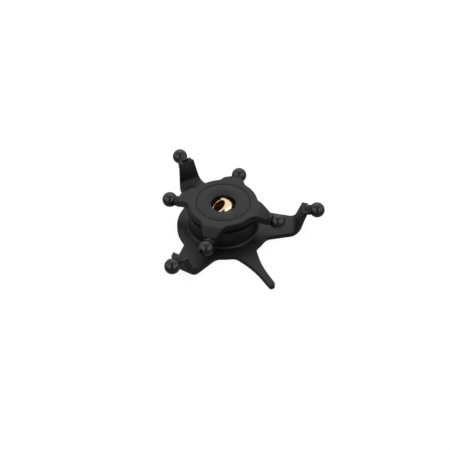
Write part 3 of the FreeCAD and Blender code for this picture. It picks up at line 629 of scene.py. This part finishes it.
class SWASHPLATE_OT_bearing(Operator):
    """Finish the ball bearing and its retaining rings"""

    bl_idname = "swashplate.bearing"
    bl_label = "Bearing"

    def execute(self, context):
        finish = context.scene.swashplate_finish
        sizes = context.scene.swashplate_sizes
        steel = get_material("ground_steel", ground_steel, finish)
        sheet = get_material("pressed_steel", pressed_steel, finish)
        spring = get_material("spring_steel", spring_steel, finish)
        cage = get_material("cage_nylon", cage_nylon, finish)
        for node, body, slot, material in (
                ("bearing_outer_race", "stationary", "bearing_steel", steel),
                ("bearing_inner_race", "rotor", "bearing_steel", steel),
                ("bearing_upper_shield", "stationary", "shield_steel", sheet),
                ("bearing_lower_shield", "stationary", "shield_steel", sheet),
                ("bearing_cage", "ball_set", "cage_plastic", cage),
                ("bearing_snap_ring", "stationary", "spring_steel", spring),
                ("sleeve_circlip", "rotor", "spring_steel", spring)):
            piece = finished_copy(node, f"finished_{node}", material)
            settle(piece, body, slot, node)
        low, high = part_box("bearing_balls")
        diameter = high.z - low.z
        rollers = grow(
            "rolling_balls", roller_tree(), Balls=ROLLING_BALLS, Detail=sizes.roller_detail,
            Pitch_radius=high.x - diameter / 2, Height=(low.z + high.z) / 2, Diameter=diameter,
            Material=steel)
        settle(rollers, "ball_set", "bearing_steel", "bearing_balls")
        return {"FINISHED"}


def aim(item, place, target):
    item.location = place
    item.rotation_euler = (Vector(target) - Vector(place)).to_track_quat("-Z", "Y").to_euler()


def softbox(name, place, target, width, height, power):
    data = bpy.data.lights.new(name, "AREA")
    data.shape = "RECTANGLE"
    data.size = width
    data.size_y = height
    data.energy = power
    lamp = bpy.data.objects.new(name, data)
    bpy.context.scene.collection.objects.link(lamp)
    aim(lamp, place, target)


def sees_backdrop(recipe):
    """Two values: 1 for camera rays, and 1 for camera, glossy and transmission rays alike."""
    kinds = ("Is Camera Ray", "Is Glossy Ray", "Is Transmission Ray")
    camera, glossy, through = (recipe.node("ShaderNodeLightPath", {}, {}, kind) for kind in kinds)
    return camera, (camera + glossy + through).between(0, 1)


def table_material(stage):
    """Pale table: white to the camera, and it keeps the part's shadow."""
    recipe = Recipe("pale_table")
    recipe.tree.nodes.remove(recipe.shader)
    cloth = recipe.node("ShaderNodeBsdfDiffuse", {}, {"Color": (*stage.floor_colour, 1)})
    camera, backdrop = sees_backdrop(recipe)
    glow = (camera * 0.8 + backdrop * 0.2) * stage.floor_glow
    light = recipe.node("ShaderNodeEmission", {}, {"Color": (1, 1, 1, 1), "Strength": glow})
    both = recipe.node("ShaderNodeAddShader", {}, {0: cloth, 1: light})
    recipe.tree.links.new(both.socket, recipe.tree.nodes["Material Output"].inputs["Surface"])
    return recipe.material


def light_tent(stage, right, front):
    """White room whose opening in front is dark. The opening is never seen directly."""
    world = bpy.data.worlds.new("light_tent")
    world.use_nodes = True
    room = Tree(world.node_tree)
    look = room.node("ShaderNodeTexCoord", {}, {}, "Generated")
    along = {"operation": "DOT_PRODUCT"}
    aside = room.node("ShaderNodeVectorMath", along, {0: look, 1: tuple(right)}, "Value")
    ahead = room.node("ShaderNodeVectorMath", along, {0: look, 1: tuple(front)}, "Value")
    aside = aside.math("ABSOLUTE", aside)
    opening = (1 - aside.between(stage.opening * 0.7, stage.opening * 1.5)) * ahead.between(0, 0.2)
    camera, backdrop = sees_backdrop(room)
    strength = (backdrop * (1 - stage.room_light) + stage.room_light) * (1 - opening * (1 - camera))
    background = world.node_tree.nodes["Background"]
    background.inputs["Color"].default_value = (1, 1, 1, 1)
    world.node_tree.links.new(strength.socket, background.inputs["Strength"])
    bpy.context.scene.world = world


class SWASHPLATE_OT_stage(Operator):
    """Set the table, the soft studio light and the camera"""

    bl_idname = "swashplate.stage"
    bl_label = "Studio"

    def execute(self, context):
        stage = context.scene.swashplate_stage
        scene = context.scene
        mesh = bpy.data.meshes.new("table")
        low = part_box("lower_plate")[0].z
        corners = [(x * TABLE_HALF, y * TABLE_HALF, low) for x, y in ((-1, -1), (1, -1), (1, 1), (-1, 1))]
        mesh.from_pydata(corners, [], [(0, 1, 2, 3)])
        table = bpy.data.objects.new("table", mesh)
        scene.collection.objects.link(table)
        paint(table, table_material(stage))

        up = Vector((0, 0, 1))
        right = (LOOK_AT - EYE).cross(up).normalized()
        front = Vector((EYE.x - LOOK_AT.x, EYE.y - LOOK_AT.y, 0)).normalized()
        light_tent(stage, right, front)
        for name, power, share, width, height, (aside, ahead, above) in LAMPS:
            place = (right * aside + front * ahead + up * above) * LAMP_DISTANCE
            softbox(name, place, Vector((0, 0, 0)), width, height, getattr(stage, power) * share)

        lens = bpy.data.cameras.new("camera")
        lens.sensor_width = SENSOR_WIDTH
        lens.lens = FOCAL_LENGTH
        lens.clip_start = NEAREST
        camera = bpy.data.objects.new("camera", lens)
        scene.collection.objects.link(camera)
        aim(camera, EYE, LOOK_AT)
        scene.camera = camera
        scene.view_settings.view_transform = "Standard"
        return {"FINISHED"}


class SWASHPLATE_PT_panel(Panel):
    """Lists the swashplate's pieces"""

    bl_idname = "SWASHPLATE_PT_panel"
    bl_label = "Swashplate"
    bl_space_type = "VIEW_3D"
    bl_region_type = "UI"
    bl_category = "Swashplate"

    def draw(self, context):
        for operator in OPERATORS:
            self.layout.operator(operator.bl_idname)


OPERATORS = (
    SWASHPLATE_OT_plates, SWASHPLATE_OT_mast_ball, SWASHPLATE_OT_ball_studs, SWASHPLATE_OT_bearing,
    SWASHPLATE_OT_stage)
GROUPS = (SwashplateFinish, SwashplateSizes, SwashplateStage)


def register():
    for item in (*GROUPS, *OPERATORS, SWASHPLATE_PT_panel):
        bpy.utils.register_class(item)
    bpy.types.Scene.swashplate_finish = PointerProperty(type=SwashplateFinish)
    bpy.types.Scene.swashplate_sizes = PointerProperty(type=SwashplateSizes)
    bpy.types.Scene.swashplate_stage = PointerProperty(type=SwashplateStage)


def unregister():
    del bpy.types.Scene.swashplate_stage
    del bpy.types.Scene.swashplate_sizes
    del bpy.types.Scene.swashplate_finish
    for item in reversed((*GROUPS, *OPERATORS, SWASHPLATE_PT_panel)):
        bpy.utils.unregister_class(item)


def main():
    register()
    bpy.ops.swashplate.plates()
    bpy.ops.swashplate.mast_ball()
    bpy.ops.swashplate.ball_studs()
    bpy.ops.swashplate.bearing()
    bpy.ops.swashplate.stage()


if __name__ == "__main__":
    main()
